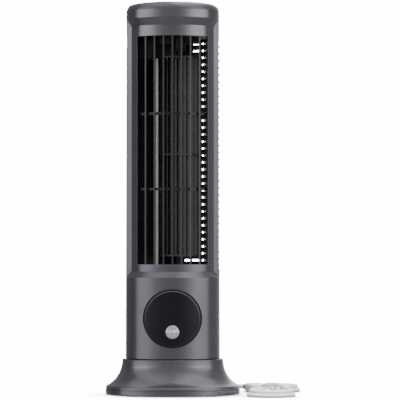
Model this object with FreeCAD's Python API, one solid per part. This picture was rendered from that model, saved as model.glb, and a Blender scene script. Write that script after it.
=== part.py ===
"""A USB desk tower fan: a flared round base, a lower housing with the motor and the push button,
a recessed grille in front of a cross-flow impeller, louvres at the right and the back, and its cable.

Millimetres. +Z is up, the front faces -Y, +X is the right side seen from the front. The origin is on
the table, under the middle of the base. Azimuths are degrees round the tower's axis: 0 is the front,
90 is the right side and 180 is the back.
"""
import FreeCAD, Part
import math
import os

V = FreeCAD.Vector
UP = V(0, 0, 1)
BACK = V(0, 1, 0)

# Overall sizes
HEIGHT = 326.3
BASE_RADIUS = 56.0
FOOT_PROUD = 0.6          # the rubber feet stand this far below the tray

# Base: a tray with a straight rim, and a shell that flares down from a collar
TRAY_TOP = 5.0
SHADOW_GAP = 0.35         # the groove between the tray's rim and the shell
FLARE_RADIUS = 24.0       # the concave sweep of the shell
FLARE_CENTRE_R = 66.2
FLARE_CENTRE_Z = 29.3
COLLAR_TOP = 30.0
SHOULDER_RADIUS = 2.0
BASE_WALL = 2.2
COLLAR_BORE = 39.9
LEDGE_TOP = 22.0          # the tower stands on this ledge inside the collar
LEDGE_BORE = 31.0
TRAY_FLOOR_TOP = 2.8
TRAY_SCREWS = (0, 120, 240)    # azimuths
TRAY_SCREW_R = 36.0
SCREW_HEAD = 2.8
SCREW_SHANK = 1.5
FEET_R = 45.0
FOOT_RADIUS = 6.0
FOOT_TOP = 1.8

# Tower
TOWER_RADIUS_LOW = 39.4   # at the collar
TOWER_RADIUS_HIGH = 38.8  # at the top cap
NECK_HEIGHT = 0.8         # a V-groove that makes a shadow line above the collar
NECK_DEPTH = 1.6
CAP_EDGE = 312.8          # the cap's lower edge, over the recessed front
PANEL_RADIUS = 35.9       # the recessed front panel
PANEL_WALL = 2.0
PANEL_TOP = 306.6
PANEL_BOTTOM = 102.7
STEP_BOTTOM = 97.8        # where the lower slanted step meets the full radius
PANEL_HALF_ANGLE = 71.6
STRIP_ANGLE = 72.0        # the rear cover's bevelled strips begin here
STRIP_FACING = 45.0       # the way the strips face
REAR_WALL_BORE = 36.9
HOUSING_BORE = 36.4
DECK_SEAT = 99.4
DECK_TOP = 102.2
DECK_BORE = 31.0
COVER_SCREWS = (150, 210)      # azimuths
HOUSING_SCREW_Z = 95.0
CAP_SCREW_Z = 302.9
COVER_SCREW_HEAD = 2.6
COVER_SCREW_SHANK = 1.25

# Window and front grille
WINDOW_HALF = 29.2
WINDOW_LOW = 108.8
WINDOW_HIGH = 297.6
BAR_COUNT = 7
BAR_PITCH = 7.45
BAR_WIDTH = 1.3
BAR_FRONT_R = 35.7
BAR_BACK_R = 32.4
RIB_HEIGHTS = (171.0, 233.3)
RIB_THICK = 2.0
GRILLE_HALF_ANGLE = 58.5
GRILLE_RIM = 2.0

# Louvres
LOUVRE_COUNT = 32
LOUVRE_PITCH = 5.9
LOUVRE_FIRST = 106.8
LOUVRE_FROM = 81.0
LOUVRE_TO = 250.0
LOUVRE_TIP_R = 39.15
LOUVRE_ROOT_R = 36.2
LOUVRE_RISE = 3.2
LOUVRE_THICK = 1.1
STAY_AZIMUTHS = (82.2, 104.0, 131.0, 139.5, 155.0, 181.0, 207.0, 248.8)    # behind the louvres
STAY_HALF_ANGLE = 1.2
STAY_RADIUS = 34.9

# Control panel and button
DISC_RADIUS = 23.85
DISC_HEIGHT = 64.2
DISC_GAP = 0.5
DISC_EDGE = 0.45          # the round on the panel's front edge
DISC_SEAT_R = 37.2
DISC_PROUD = 0.12
BUTTON_RADIUS = 5.5
BUTTON_HEIGHT = 53.2
BUTTON_GAP = 0.35
BUTTON_TRAVEL = 1.0
BUTTON_FACE_Y = -39.9
BUTTON_BACK_Y = -35.4
BUTTON_DOME = 0.9
BUTTON_FLANGE = 6.8
STEM_RADIUS = 1.5
PLUNGER_RADIUS = 1.7
PLUNGER_LENGTH = 2.4
SWITCH_HALF = 3.1
SWITCH_FRONT_Y = -31.4
BOARD_FRONT_Y = -27.6
BOARD_BACK_Y = -26.4
BOARD_SCREWS = (66.0, 81.0)    # heights
RUNNING_GAP = 0.05

# Impeller and motor, on one upright axis
ROTOR_X = 5.5
ROTOR_Y = 2.0
ROTOR_RADIUS = 19.0
BLADE_COUNT = 30
BLADE_ROOT_R = 15.2
BLADE_TIP_R = 18.7
BLADE_HALF_THICK = 1.3    # degrees
BLADE_SWEEP = 10.0        # degrees
ROTOR_LOW = 115.4
ROTOR_MID = 199.4
ROTOR_HIGH = 280.8
ROTOR_DISC = 1.2
SHAFT_RADIUS = 1.15
PIN_RADIUS = 1.5
MOTOR_RADIUS = 13.9
MOTOR_LOW = 62.0
MOTOR_SCREW_X = 8.0
MOTOR_SCREW_RADIUS = 1.25
TAG_LOW = 56.0            # the lower ends of the motor's two terminals
TAG_Y = 6.5
DUCT_WALL = 1.6
BRACKET_LOW = 297.8
BRACKET_TOP = 299.8
BAFFLE_FOOT = 283.0       # a curved wall that hangs from the bracket at the back
BAFFLE_INNER_R = 33.0
BAFFLE_OUTER_R = 34.2
BAFFLE_FROM = 150.0       # azimuths
BAFFLE_TO = 246.0
CUP_LOW = 287.8
BUSH_RADIUS = 3.2
SCROLL_FROM = 96.0        # degrees round the impeller, from +X
SCROLL_TO = 207.0
SCROLL_NEAR = 21.2
SCROLL_FAR = 38.6
GUIDE_X = -13.0           # a thin upright wall beside the impeller, behind the grille
GUIDE_NOSE_Y = -17.5
GUIDE_BACK_Y = -12.0
GUIDE_HALF = 1.1
GUIDE_TOP = 279.5

# Cable
SOCKET_HEIGHT = 38.0
WIRE_RADIUS = 0.7
CORD_RADIUS = 1.75
PLUG_END_Y = 67.0         # the end of the small plug's strain relief
CORD_ROUTE = [
    (0.0, PLUG_END_Y, SOCKET_HEIGHT),
    (0.5, 83.0, 37.0),
    (5.5, 99.0, 27.5),
    (16.0, 111.0, 14.0),
    (33.0, 117.5, 4.6),
    (54.0, 113.0, 1.9),
    (71.0, 99.0, 1.75),
    (80.8, 79.0, 1.75),
    (83.8, 57.0, 1.75),
    (83.9, 35.0, 1.75),
    (82.4, 14.0, 1.75),
]
HANK_HEIGHT = 7.4
TIE_Y = 7.5
TIE_WIDTH = 3.0
TIE_PROUD = 1.0
USB_START = (75.0, 14.0)  # where the large plug's strain relief leaves the hank
USB_TILT = 12.0           # degrees, towards the fan
USB_HEIGHT = 3.9


# Shared shapes

def at(radius, azimuth, z=0.0):
    """The point at this radius and azimuth."""
    a = math.radians(azimuth)
    return V(radius * math.sin(a), -radius * math.cos(a), z)


def tower_radius(z):
    """The tower narrows a little from the collar to the cap."""
    share = (z - COLLAR_TOP) / (CAP_EDGE - COLLAR_TOP)
    return TOWER_RADIUS_LOW + share * (TOWER_RADIUS_HIGH - TOWER_RADIUS_LOW)


def turned(points):
    """A solid turned from a closed outline of (radius, z) points."""
    corners = [V(r, 0, z) for r, z in points]
    face = Part.Face(Part.makePolygon(corners + corners[:1]))
    return face.revolve(V(0, 0, 0), UP, 360)


def turned_edges(edges):
    """A solid turned from edges in the XZ plane that close an outline."""
    wire = Part.Wire(Part.__sortEdges__(edges))
    return Part.Face(wire).revolve(V(0, 0, 0), UP, 360)


def line(a, b):
    return Part.LineSegment(a, b).toShape()


def arc(a, b, c):
    return Part.Arc(a, b, c).toShape()


def chain(points):
    """Straight edges through points in the XZ plane."""
    corners = [V(r, 0, z) for r, z in points]
    return [line(a, b) for a, b in zip(corners, corners[1:])]


def cylinder(radius, low, high, x=0.0, y=0.0):
    return Part.makeCylinder(radius, high - low, V(x, y, low), UP)


def cylinder_y(radius, y_from, y_to, x, z):
    return Part.makeCylinder(radius, y_to - y_from, V(x, y_from, z), BACK)


def block(x0, x1, y0, y1, z0, z1):
    return Part.makeBox(x1 - x0, y1 - y0, z1 - z0, V(x0, y0, z0))


def sector(inner, outer, low, high, start, end):
    """A piece of a tube wall between two azimuths."""
    mid = (start + end) / 2
    edges = [
        arc(at(outer, start, low), at(outer, mid, low), at(outer, end, low)),
        line(at(outer, end, low), at(inner, end, low)),
        arc(at(inner, end, low), at(inner, mid, low), at(inner, start, low)),
        line(at(inner, start, low), at(outer, start, low)),
    ]
    return Part.Face(Part.Wire(edges)).extrude(V(0, 0, high - low))


def slab_y(outline, low, high):
    """An upright prism on a closed plan of (x, y) points."""
    corners = [V(x, y, low) for x, y in outline]
    face = Part.Face(Part.makePolygon(corners + corners[:1]))
    return face.extrude(V(0, 0, high - low))


def radial_cylinder(radius, r_from, r_to, azimuth, z):
    start = at(r_from, azimuth, z)
    return Part.makeCylinder(radius, r_to - r_from, start, at(1, azimuth))


def rounded_bar(width, height, y_from, y_to, x, z, corner):
    """A bar along Y with rounded long edges."""
    bar = block(x - width / 2, x + width / 2, y_from, y_to, z - height / 2, z + height / 2)
    long_edges = [e for e in bar.Edges if abs(e.tangentAt(e.FirstParameter).y) > 0.9]
    return bar.makeFillet(corner, long_edges)


def cone_y(radius_from, radius_to, y_from, y_to, x, z):
    return Part.makeCone(radius_from, radius_to, y_to - y_from, V(x, y_from, z), BACK)


def in_front_of_strips(low, high):
    """The space before the recessed panel's edges and the bevelled strips."""
    edge = at(PANEL_RADIUS, STRIP_ANGLE)
    far = 60.0
    rise = (far - edge.x) / math.tan(math.radians(STRIP_FACING))
    outline = [(-far, -far), (far, -far), (far, edge.y + rise), (edge.x, edge.y)]
    outline += [(-edge.x, edge.y), (-far, edge.y + rise)]
    return slab_y(outline, low, high)


def outside_cone(r_low, z_low, r_high, z_high):
    """Everything outside a cone, between its two heights."""
    far = 60.0
    return turned([(r_low, z_low), (far, z_low), (far, z_high), (r_high, z_high)])


# Base

def flare_point(radius, angle):
    a = math.radians(angle)
    return V(FLARE_CENTRE_R + radius * math.cos(a), 0, FLARE_CENTRE_Z + radius * math.sin(a))


def shoulder_centre():
    """The shoulder's round touches both the straight rim and the flare."""
    r = BASE_RADIUS - SHOULDER_RADIUS
    reach = FLARE_RADIUS + SHOULDER_RADIUS
    drop = math.sqrt(reach ** 2 - (FLARE_CENTRE_R - r) ** 2)
    return V(r, 0, FLARE_CENTRE_Z - drop)


def base_shell():
    centre = shoulder_centre()
    flare_centre = V(FLARE_CENTRE_R, 0, FLARE_CENTRE_Z)
    towards = (flare_centre - centre).normalize()
    touch = centre + towards * SHOULDER_RADIUS
    touch_angle = 180 + math.degrees(math.atan2(-(touch.z - flare_centre.z), -(touch.x - flare_centre.x)))
    rim = V(BASE_RADIUS, 0, centre.z)
    middle = centre + (towards + V(1, 0, 0)).normalize() * SHOULDER_RADIUS
    groove_top = TRAY_TOP + SHADOW_GAP
    collar = flare_point(FLARE_RADIUS, 180)
    lip = 0.4
    inner_top = flare_point(FLARE_RADIUS + BASE_WALL, 202)
    inner_low = flare_point(FLARE_RADIUS + BASE_WALL, 242)
    edges = [
        arc(rim, middle, touch),
        arc(touch, flare_point(FLARE_RADIUS, (180 + touch_angle) / 2), collar),
        arc(inner_low, flare_point(FLARE_RADIUS + BASE_WALL, 222), inner_top),
    ]
    edges += chain([
        (collar.x, collar.z),
        (collar.x, COLLAR_TOP - lip),
        (collar.x - lip, COLLAR_TOP),
        (COLLAR_BORE + lip, COLLAR_TOP),
        (COLLAR_BORE, COLLAR_TOP - lip),
        (COLLAR_BORE, LEDGE_TOP),
        (LEDGE_BORE, LEDGE_TOP),
        (LEDGE_BORE, inner_top.z),
        (inner_top.x, inner_top.z),
    ])
    edges += chain([
        (inner_low.x, inner_low.z),
        (inner_low.x, TRAY_TOP),
        (BASE_RADIUS - 0.6, TRAY_TOP),
        (BASE_RADIUS - 0.6, groove_top),
        (BASE_RADIUS, groove_top),
        (rim.x, rim.z),
    ])
    shell = turned_edges(edges)
    for azimuth in TRAY_SCREWS:
        place = at(TRAY_SCREW_R, azimuth)
        shell = shell.fuse(cylinder(3.6, TRAY_FLOOR_TOP, LEDGE_TOP - 1.0, place.x, place.y))
        shell = shell.cut(cylinder(1.5, TRAY_FLOOR_TOP, TRAY_FLOOR_TOP + 9.0, place.x, place.y))
    return shell.removeSplitter()


def base_tray():
    low = FOOT_PROUD
    edge = 0.7
    spigot = 53.0
    tray = turned([
        (0, low), (BASE_RADIUS - edge, low), (BASE_RADIUS, low + edge), (BASE_RADIUS, TRAY_TOP),
        (spigot - 1.8, TRAY_TOP), (spigot - 1.8, TRAY_FLOOR_TOP), (0, TRAY_FLOOR_TOP),
    ])
    for k in range(4):
        place = at(FEET_R, 45 + 90 * k)
        tray = tray.cut(cylinder(FOOT_RADIUS, low, FOOT_TOP, place.x, place.y))
    for azimuth in TRAY_SCREWS:
        place = at(TRAY_SCREW_R, azimuth)
        tray = tray.cut(tray_screw(place))
    return tray


def tray_screw(place):
    head = cylinder(SCREW_HEAD, FOOT_PROUD + 0.3, FOOT_PROUD + 1.3, place.x, place.y)
    shank = cylinder(SCREW_SHANK, FOOT_PROUD + 1.3, TRAY_FLOOR_TOP + 8.0, place.x, place.y)
    return head.fuse(shank)


def tray_screws():
    return Part.makeCompound([tray_screw(at(TRAY_SCREW_R, azimuth)) for azimuth in TRAY_SCREWS])


def rubber_feet():
    feet = []
    for k in range(4):
        place = at(FEET_R, 45 + 90 * k)
        foot = cylinder(FOOT_RADIUS, 0, FOOT_TOP, place.x, place.y)
        feet.append(foot)
    return Part.makeCompound(feet)


# Lower housing

def side_screw(azimuth, z, wall_r):
    """A pan-head screw that goes in towards the axis, its head sunk in the wall."""
    head = radial_cylinder(COVER_SCREW_HEAD, wall_r - 1.2, wall_r - 0.1, azimuth, z)
    shank = radial_cylinder(COVER_SCREW_SHANK, wall_r - 4.4, wall_r - 1.2, azimuth, z)
    return head.fuse(shank)


def screw_well(azimuth, z, wall_r):
    """The hole that a side screw sits in."""
    mouth = radial_cylinder(COVER_SCREW_HEAD, wall_r - 0.2, wall_r + 2, azimuth, z)
    return side_screw(azimuth, z, wall_r).fuse(mouth)


def lower_housing():
    radius_low = tower_radius(LEDGE_TOP)
    radius_high = tower_radius(PANEL_BOTTOM)
    bore_top = PANEL_RADIUS - PANEL_WALL
    housing = turned([
        (radius_low, LEDGE_TOP), (radius_high, PANEL_BOTTOM), (bore_top, PANEL_BOTTOM),
        (bore_top, DECK_SEAT), (DECK_BORE, DECK_SEAT), (DECK_BORE, DECK_SEAT - 2.4),
        (HOUSING_BORE, DECK_SEAT - 5.0), (HOUSING_BORE, LEDGE_TOP + 2.0),
        (DECK_BORE + 1.5, LEDGE_TOP + 2.0), (DECK_BORE + 1.5, LEDGE_TOP),
    ])
    step = outside_cone(tower_radius(STEP_BOTTOM), STEP_BOTTOM, PANEL_RADIUS, PANEL_BOTTOM)
    housing = housing.cut(step.common(in_front_of_strips(STEP_BOTTOM, PANEL_BOTTOM)))
    neck_top = COLLAR_TOP + NECK_HEIGHT
    neck = turned([
        (radius_low + 1, COLLAR_TOP), (radius_low + 1, neck_top), (radius_low, neck_top),
        (radius_low - NECK_DEPTH, (COLLAR_TOP + neck_top) / 2), (radius_low, COLLAR_TOP),
    ])
    housing = housing.cut(neck)
    recess = cylinder_y(DISC_RADIUS + DISC_GAP, -45, -20, 0, DISC_HEIGHT)
    housing = housing.cut(recess.cut(cylinder(DISC_SEAT_R, 20, 110)))
    housing = housing.cut(cylinder_y(BUTTON_FLANGE + 0.9, -45, -30, 0, BUTTON_HEIGHT))
    shelf = block(-9.5, 9.5, 24.0, 36.6, SOCKET_HEIGHT - 4.6, SOCKET_HEIGHT - 2.6)
    housing = housing.fuse(shelf.common(cylinder(HOUSING_BORE + 0.4, 30, 40)))
    pocket = rounded_bar(12.4, 9.2, 37.6, 45, 0, SOCKET_HEIGHT, 2.4)
    port = block(-4.1, 4.1, 30, 40, SOCKET_HEIGHT - 1.65, SOCKET_HEIGHT + 1.65)
    housing = housing.cut(pocket).cut(port)
    for azimuth in COVER_SCREWS:
        wall = tower_radius(HOUSING_SCREW_Z)
        boss = radial_cylinder(3.4, wall - 6.0, wall - 1.5, azimuth, HOUSING_SCREW_Z)
        housing = housing.fuse(boss).cut(screw_well(azimuth, HOUSING_SCREW_Z, wall))
    return housing


def housing_screws():
    wall = tower_radius(HOUSING_SCREW_Z)
    return Part.makeCompound([side_screw(a, HOUSING_SCREW_Z, wall) for a in COVER_SCREWS])


def cap_screws():
    wall = tower_radius(CAP_SCREW_Z)
    return Part.makeCompound([side_screw(a, CAP_SCREW_Z, wall) for a in COVER_SCREWS])


def on_radius(edge, radius):
    """Whether all of an edge lies at this distance from the tower's axis."""
    spots = [edge.valueAt(t) for t in (edge.FirstParameter, (edge.FirstParameter + edge.LastParameter) / 2)]
    return all(abs(math.hypot(p.x, p.y) - radius) < 0.01 for p in spots)


def control_disc():
    """A round glossy panel that follows the curve of the housing."""
    front = tower_radius(DISC_HEIGHT) + DISC_PROUD
    wall = cylinder(front, 30, 100).cut(cylinder(DISC_SEAT_R, 29, 101))
    disc = wall.common(cylinder_y(DISC_RADIUS, -45, -20, 0, DISC_HEIGHT))
    fronts = [e for e in disc.Edges if on_radius(e, front)]
    disc = disc.makeFillet(DISC_EDGE, fronts)
    return disc.cut(cylinder_y(BUTTON_RADIUS + BUTTON_GAP, -45, -20, 0, BUTTON_HEIGHT))


# Button: a domed cap, a stem and the switch's plunger move together

def button_cap():
    """A shallow dome inside a raised rim, with a flange that keeps it behind the panel."""
    rim_width = 0.8
    dome_r = BUTTON_RADIUS - rim_width
    ball_r = (dome_r ** 2 + BUTTON_DOME ** 2) / (2 * BUTTON_DOME)
    cap = cylinder_y(BUTTON_RADIUS, BUTTON_FACE_Y, BUTTON_BACK_Y, 0, BUTTON_HEIGHT)
    cap = cap.makeFillet(0.35, [e for e in cap.Edges if abs(e.CenterOfMass.y - BUTTON_FACE_Y) < 0.01])
    groove = 0.35
    cap = cap.cut(cylinder_y(dome_r, BUTTON_FACE_Y - 1, BUTTON_FACE_Y + groove, 0, BUTTON_HEIGHT))
    ball_y = BUTTON_FACE_Y + groove - BUTTON_DOME + ball_r
    ball = Part.makeSphere(ball_r, V(0, ball_y, BUTTON_HEIGHT))
    dome = ball.common(cylinder_y(dome_r, BUTTON_FACE_Y - 2, BUTTON_BACK_Y - 1, 0, BUTTON_HEIGHT))
    flange = cylinder_y(BUTTON_FLANGE, BUTTON_BACK_Y - 0.8, BUTTON_BACK_Y, 0, BUTTON_HEIGHT)
    return cap.fuse(dome).fuse(flange).removeSplitter()


def button_stem():
    return cylinder_y(STEM_RADIUS, BUTTON_BACK_Y, SWITCH_FRONT_Y - PLUNGER_LENGTH / 2, 0, BUTTON_HEIGHT)


def switch_plunger():
    half = PLUNGER_LENGTH / 2
    return cylinder_y(PLUNGER_RADIUS, SWITCH_FRONT_Y - half, SWITCH_FRONT_Y + half, 0, BUTTON_HEIGHT)


def tact_switch():
    low = BUTTON_HEIGHT - SWITCH_HALF
    high = BUTTON_HEIGHT + SWITCH_HALF
    switch = block(-SWITCH_HALF, SWITCH_HALF, SWITCH_FRONT_Y, BOARD_FRONT_Y, low, high)
    end = SWITCH_FRONT_Y + PLUNGER_LENGTH / 2 + BUTTON_TRAVEL + 0.4
    bore = PLUNGER_RADIUS + RUNNING_GAP
    return switch.cut(cylinder_y(bore, SWITCH_FRONT_Y - 1, end, 0, BUTTON_HEIGHT))


def control_board():
    board = block(-13, 13, BOARD_FRONT_Y, BOARD_BACK_Y, 44, 85)
    for z in BOARD_SCREWS:
        board = board.cut(cylinder_y(1.1, BOARD_FRONT_Y - 1, BOARD_FRONT_Y + 3, 0, z))
    return board


def board_posts():
    """Two posts from the housing's wall that carry the control board."""
    posts = []
    for z in BOARD_SCREWS:
        post = cylinder_y(2.6, -HOUSING_BORE - 0.4, BOARD_FRONT_Y, 0, z)
        posts.append(post.cut(cylinder_y(1.1, BOARD_FRONT_Y - 5, BOARD_FRONT_Y + 1, 0, z)))
    return posts


def board_screws():
    screws = []
    for z in BOARD_SCREWS:
        head = cylinder_y(2.0, BOARD_BACK_Y, BOARD_BACK_Y + 1.2, 0, z)
        shank = cylinder_y(1.1, BOARD_FRONT_Y - 4.6, BOARD_BACK_Y, 0, z)
        screws.append(head.fuse(shank))
    return Part.makeCompound(screws)


def board_components():
    """The parts soldered on the inner face of the board."""
    face = BOARD_BACK_Y
    chip = block(-3.0, 3.0, face, face + 1.6, 70.5, 74.5)
    capacitor = cylinder_y(2.5, face, face + 6.0, -8.0, 75.0)
    coil = block(4.5, 9.5, face, face + 3.0, 72.0, 77.0)
    resistors = [block(-9.0 + 4 * k, -6.6 + 4 * k, face, face + 0.8, 48.0, 49.4) for k in range(5)]
    return Part.makeCompound([chip, capacitor, coil] + resistors)


# Motor

def motor_can():
    can = cylinder(MOTOR_RADIUS, MOTOR_LOW, DECK_SEAT, ROTOR_X, ROTOR_Y)
    rim = [e for e in can.Edges if abs(e.CenterOfMass.z - MOTOR_LOW) < 0.01]
    can = can.makeFillet(1.2, rim)
    can = can.cut(cylinder(SHAFT_RADIUS + RUNNING_GAP, MOTOR_LOW - 1, DECK_SEAT + 1, ROTOR_X, ROTOR_Y))
    for side in (-1, 1):
        x = ROTOR_X + side * MOTOR_SCREW_X
        can = can.cut(cylinder(MOTOR_SCREW_RADIUS, DECK_SEAT - 3.0, DECK_SEAT + 1, x, ROTOR_Y))
    return can


def motor_end_cap():
    cap = cylinder(10.0, MOTOR_LOW - 3.0, MOTOR_LOW, ROTOR_X, ROTOR_Y)
    for side in (-1, 1):
        y = ROTOR_Y + side * TAG_Y
        cap = cap.fuse(block(ROTOR_X - 1.2, ROTOR_X + 1.2, y - 0.3, y + 0.3, TAG_LOW, MOTOR_LOW - 2.5))
    return cap.cut(cylinder(3.0, MOTOR_LOW - 4, MOTOR_LOW + 1, ROTOR_X, ROTOR_Y))


def motor_deck():
    """The plate that the motor hangs from. It also closes the air duct below."""
    deck = cylinder(PANEL_RADIUS - PANEL_WALL - 0.2, DECK_SEAT, DECK_TOP)
    deck = deck.cut(cylinder(3.6, DECK_SEAT - 1, DECK_TOP + 1, ROTOR_X, ROTOR_Y))
    for side in (-1, 1):
        x = ROTOR_X + side * MOTOR_SCREW_X
        deck = deck.cut(cylinder(MOTOR_SCREW_RADIUS, DECK_SEAT - 1, DECK_TOP + 1, x, ROTOR_Y))
    return deck


def motor_screws():
    screws = []
    for side in (-1, 1):
        x = ROTOR_X + side * MOTOR_SCREW_X
        head = cylinder(2.2, DECK_TOP, DECK_TOP + 1.5, x, ROTOR_Y)
        screws.append(head.fuse(cylinder(MOTOR_SCREW_RADIUS, DECK_SEAT - 3.0, DECK_TOP, x, ROTOR_Y)))
    return Part.makeCompound(screws)


def motor_shaft():
    return cylinder(SHAFT_RADIUS, MOTOR_LOW - 2.0, ROTOR_LOW, ROTOR_X, ROTOR_Y)


def impeller_hub():
    low = DECK_TOP + 4.8
    hub = cylinder(4.6, low, ROTOR_LOW, ROTOR_X, ROTOR_Y)
    return hub.cut(cylinder(SHAFT_RADIUS, low - 1, ROTOR_LOW + 1, ROTOR_X, ROTOR_Y))


# Impeller

def blade(angle):
    """One curved blade, upright, between the lowest and the highest disc."""
    def edge_point(radius, turn):
        a = math.radians(angle + turn)
        return V(ROTOR_X + radius * math.cos(a), ROTOR_Y + radius * math.sin(a), ROTOR_LOW + ROTOR_DISC / 2)

    middle_r = (BLADE_ROOT_R + BLADE_TIP_R) / 2
    sides = []
    for half in (-BLADE_HALF_THICK, BLADE_HALF_THICK):
        root = edge_point(BLADE_ROOT_R, half)
        middle = edge_point(middle_r, half + 0.32 * BLADE_SWEEP)
        tip = edge_point(BLADE_TIP_R, half + BLADE_SWEEP)
        sides.append((root, middle, tip))
    (root_a, middle_a, tip_a), (root_b, middle_b, tip_b) = sides
    wire = Part.Wire([
        arc(root_a, middle_a, tip_a), line(tip_a, tip_b), arc(tip_b, middle_b, root_b), line(root_b, root_a),
    ])
    return Part.Face(wire).extrude(V(0, 0, ROTOR_HIGH - ROTOR_LOW))


def impeller():
    blades = [blade(360 / BLADE_COUNT * k) for k in range(BLADE_COUNT)]
    discs = [cylinder(ROTOR_RADIUS, z, z + ROTOR_DISC, ROTOR_X, ROTOR_Y)
             for z in (ROTOR_LOW, ROTOR_MID, ROTOR_HIGH)]
    rotor = discs[0].multiFuse(discs[1:] + blades)
    return rotor.cut(cylinder(PIN_RADIUS, ROTOR_HIGH - 1, ROTOR_HIGH + 5, ROTOR_X, ROTOR_Y))


def upper_pin():
    return cylinder(PIN_RADIUS, ROTOR_HIGH, BRACKET_LOW - 4.0, ROTOR_X, ROTOR_Y)


def bearing_bush():
    bush = cylinder(BUSH_RADIUS, CUP_LOW, BRACKET_LOW - 1.0, ROTOR_X, ROTOR_Y)
    return bush.cut(cylinder(PIN_RADIUS + RUNNING_GAP, CUP_LOW - 1, BRACKET_LOW - 2.5, ROTOR_X, ROTOR_Y))


def bearing_bracket():
    """The plate above the impeller, with a cup for the upper bush and a rail that stiffens it."""
    plate = cylinder(31.4, BRACKET_LOW, BRACKET_TOP)
    cup = cylinder(BUSH_RADIUS + 2.0, CUP_LOW, BRACKET_LOW + 0.1, ROTOR_X, ROTOR_Y)
    reach = 17.0
    half = 1.2
    rail_top = BRACKET_LOW + 0.1
    rail = block(ROTOR_X - reach, ROTOR_X + reach, ROTOR_Y - half, ROTOR_Y + half, CUP_LOW + 5, rail_top)
    baffle = sector(BAFFLE_INNER_R, BAFFLE_OUTER_R, BAFFLE_FOOT, BRACKET_TOP, BAFFLE_FROM, BAFFLE_TO)
    flange = sector(31.0, BAFFLE_OUTER_R, BRACKET_LOW, BRACKET_TOP, BAFFLE_FROM, BAFFLE_TO)
    bracket = plate.fuse(cup).fuse(rail).fuse(flange).fuse(baffle)
    return bracket.cut(cylinder(BUSH_RADIUS, CUP_LOW - 1, BRACKET_LOW - 1.0, ROTOR_X, ROTOR_Y))


# Air duct

def scroll_wall():
    """The wall that opens out round the left of the impeller and leads the air to the window."""
    def spiral(extra):
        points = []
        for k in range(7):
            share = k / 6
            a = math.radians(SCROLL_FROM + share * (SCROLL_TO - SCROLL_FROM))
            r = SCROLL_NEAR + share * (SCROLL_FAR - SCROLL_NEAR) + extra
            points.append(V(ROTOR_X + r * math.cos(a), ROTOR_Y + r * math.sin(a), DECK_TOP))
        return points

    inner = spiral(0)
    outer = spiral(DUCT_WALL)
    curves = []
    for points in (inner, outer):
        curve = Part.BSplineCurve()
        curve.interpolate(points)
        curves.append(curve.toShape())
    edges = curves + [line(inner[0], outer[0]), line(inner[-1], outer[-1])]
    wall = Part.Face(Part.Wire(Part.__sortEdges__(edges)))
    wall = wall.extrude(V(0, 0, BRACKET_LOW - DECK_TOP))
    return wall.common(cylinder(PANEL_RADIUS - PANEL_WALL - 0.15, DECK_TOP, BRACKET_LOW))


def tongue_wall():
    """The short wall at the right of the window that parts the air going in from the air going out."""
    nose = V(28.6, -6.0)
    foot = at(32.6, 63.0)
    half = DUCT_WALL / 2
    outline = [(nose.x - half, nose.y), (foot.x - half, foot.y)]
    outline += [(foot.x + half, foot.y), (nose.x + half, nose.y)]
    wall = slab_y(outline, DECK_TOP, BRACKET_LOW)
    return wall.fuse(cylinder(half, DECK_TOP, BRACKET_LOW, nose.x, nose.y)).removeSplitter()


def air_guide():
    """An upright vane at the left of the impeller, with a rounded nose towards the window."""
    x, nose_y, back_y = GUIDE_X, GUIDE_NOSE_Y, GUIDE_BACK_Y
    vane = block(x - GUIDE_HALF, x + GUIDE_HALF, nose_y, back_y, DECK_TOP, GUIDE_TOP)
    nose = cylinder(GUIDE_HALF, DECK_TOP, GUIDE_TOP, x, nose_y)
    return vane.fuse(nose).removeSplitter()


# Front cover and grille

def front_cover():
    """The recessed panel with its tall window."""
    inner = PANEL_RADIUS - PANEL_WALL
    panel = sector(inner, PANEL_RADIUS, PANEL_BOTTOM, PANEL_TOP, -PANEL_HALF_ANGLE, PANEL_HALF_ANGLE)
    window = block(-WINDOW_HALF, WINDOW_HALF, -45, -5, WINDOW_LOW, WINDOW_HIGH)
    upright = [e for e in window.Edges if abs(e.tangentAt(e.FirstParameter).y) > 0.9]
    return panel.cut(window.makeFillet(0.8, upright))


def front_grille():
    """Upright bars in the window, two ribs behind them and a rim behind the panel."""
    low = WINDOW_LOW - GRILLE_RIM
    high = WINDOW_HIGH + GRILLE_RIM
    panel_inner = PANEL_RADIUS - PANEL_WALL - 0.1
    deep = sector(BAR_BACK_R, panel_inner, low, high, -70, 70)
    shown = sector(panel_inner - 0.5, BAR_FRONT_R, WINDOW_LOW + 0.15, WINDOW_HIGH - 0.15, -70, 70)
    stock = deep.fuse(shown)
    bars = []
    for k in range(BAR_COUNT):
        x = BAR_PITCH * (k - (BAR_COUNT - 1) / 2)
        bars.append(stock.common(block(x - BAR_WIDTH / 2, x + BAR_WIDTH / 2, -45, -5, low, high)))
    rings = []
    for bottom, top in [(low, WINDOW_LOW), (WINDOW_HIGH, high)]:
        rings.append(sector(BAR_BACK_R, panel_inner, bottom, top, -GRILLE_HALF_ANGLE, GRILLE_HALF_ANGLE))
    half = RIB_THICK / 2
    for z in RIB_HEIGHTS:
        rib = sector(BAR_BACK_R, BAR_BACK_R + 1.2, z - half, z + half, -GRILLE_HALF_ANGLE, GRILLE_HALF_ANGLE)
        rings.append(rib)
    return bars[0].multiFuse(bars[1:] + rings)


# Rear cover and louvres

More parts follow.
